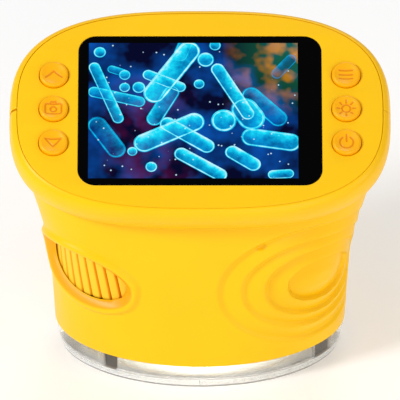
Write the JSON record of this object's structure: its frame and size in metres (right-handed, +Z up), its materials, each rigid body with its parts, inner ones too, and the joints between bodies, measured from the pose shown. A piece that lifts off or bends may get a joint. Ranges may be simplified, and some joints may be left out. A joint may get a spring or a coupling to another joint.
{
  "type": "kids handheld digital microscope",
  "caption": "Handheld digital microscope for children: oval yellow body, tilted head with colour screen and side buttons, ribbed focus wheel and clear lift-off base.",
  "frame": {"origin": "centre of the object's outline on the surface that it stands on", "axes": "+Z up, +X to the right of a person facing the screen, -Y towards that person"},
  "size_m": [0.1052, 0.0616, 0.0902],
  "materials": {
    "shell_yellow": "satin moulded ABS, bright yellow",
    "face_yellow": "satin moulded ABS, warm yellow",
    "button_orange": "satin moulded ABS, orange yellow",
    "wheel_yellow": "satin moulded ABS, ribbed",
    "clear_plastic": "clear polished polycarbonate",
    "window_black": "glossy black acrylic window",
    "display": "lit colour display",
    "frosted_plastic": "milky acetal",
    "white_plastic": "white moulded plastic",
    "black_plastic": "black moulded plastic",
    "board_green": "green solder mask",
    "steel": "nickel plated",
    "battery_foil": "laminated foil pouch",
    "lens_glass": "polished optical glass",
    "led_white": "white LED lens",
    "ribbon_amber": "polyimide film"
  },
  "bodies": {
    "base": {"clear_base": "clear_plastic"},
    "housing": {"front_shell": "shell_yellow", "rear_shell": "shell_yellow", "bottom_cover": "white_plastic", "optics_frame": "black_plastic", "wheel_bracket": "black_plastic", "face_plate": "face_yellow", "screen_window": "window_black", "display_glass": "display", "backlight_unit": "white_plastic", "main_board": "board_green", "main_chip": "black_plastic", "battery": "battery_foil", "usb_port": "steel", "card_holder": "steel", "tact_switch_up": "black_plastic", "tact_switch_camera": "black_plastic", "tact_switch_down": "black_plastic", "tact_switch_menu": "black_plastic", "tact_switch_light": "black_plastic", "tact_switch_power": "black_plastic", "upper_bush": "frosted_plastic", "lower_bush": "frosted_plastic", "image_sensor": "black_plastic", "sensor_board": "board_green", "led_board": "white_plastic", "light_diffuser": "frosted_plastic", "led_1": "led_white", "led_2": "led_white", "led_3": "led_white", "led_4": "led_white", "led_5": "led_white", "led_6": "led_white", "shell_screw_1": "steel", "shell_screw_2": "steel", "shell_screw_3": "steel", "shell_screw_4": "steel", "cover_screw_1": "steel", "cover_screw_2": "steel", "cover_screw_3": "steel", "camera_ribbon": "ribbon_amber", "battery_lead": "black_plastic"},
    "focus_wheel": {"focus_wheel": "wheel_yellow", "wheel_shaft": "steel", "drive_pinion": "white_plastic"},
    "focus_ring": {"focus_gear_ring": "white_plastic"},
    "lens": {"lens_barrel": "black_plastic", "front_lens": "lens_glass", "rear_lens": "lens_glass", "lens_retainer": "black_plastic"},
    "button_up": {"button_up": "button_orange"},
    "button_camera": {"button_camera": "button_orange"},
    "button_down": {"button_down": "button_orange"},
    "button_menu": {"button_menu": "button_orange"},
    "button_light": {"button_light": "button_orange"},
    "button_power": {"button_power": "button_orange"}
  },
  "joints": [
    {"name": "housing_lift", "type": "slide", "parent": "base", "child": "housing", "axis": [0, 0, 1], "range_m": [0, 0.03]},
    {"name": "focus_turn", "type": "hinge", "parent": "housing", "child": "focus_wheel", "pos_m": [-0.0186, 0, 0.0324], "axis": [0, 0, 1], "range_deg": [-180, 180]},
    {"name": "focus_ring_turn", "type": "hinge", "parent": "housing", "child": "focus_ring", "pos_m": [0, 0, 0.017], "axis": [0, 0, 1], "range_deg": [-90, 90]},
    {"name": "lens_travel", "type": "slide", "parent": "housing", "child": "lens", "axis": [0, 0, 1], "range_m": [-0.0015, 0.0015]},
    {"name": "press_up", "type": "slide", "parent": "housing", "child": "button_up", "axis": [0, 0.454, -0.891], "range_m": [0, 0.0007], "stiffness_N_per_m": 400},
    {"name": "press_camera", "type": "slide", "parent": "housing", "child": "button_camera", "axis": [0, 0.454, -0.891], "range_m": [0, 0.0007], "stiffness_N_per_m": 400},
    {"name": "press_down", "type": "slide", "parent": "housing", "child": "button_down", "axis": [0, 0.454, -0.891], "range_m": [0, 0.0007], "stiffness_N_per_m": 400},
    {"name": "press_menu", "type": "slide", "parent": "housing", "child": "button_menu", "axis": [0, 0.454, -0.891], "range_m": [0, 0.0007], "stiffness_N_per_m": 400},
    {"name": "press_light", "type": "slide", "parent": "housing", "child": "button_light", "axis": [0, 0.454, -0.891], "range_m": [0, 0.0007], "stiffness_N_per_m": 400},
    {"name": "press_power", "type": "slide", "parent": "housing", "child": "button_power", "axis": [0, 0.454, -0.891], "range_m": [0, 0.0007], "stiffness_N_per_m": 400}
  ],
  "couplings": [
    {"joint": "focus_ring_turn", "follows": "focus_turn", "ratio": -0.5},
    {"joint": "lens_travel", "follows": "focus_turn", "m_per_rad": 0.00047746}
  ]
}
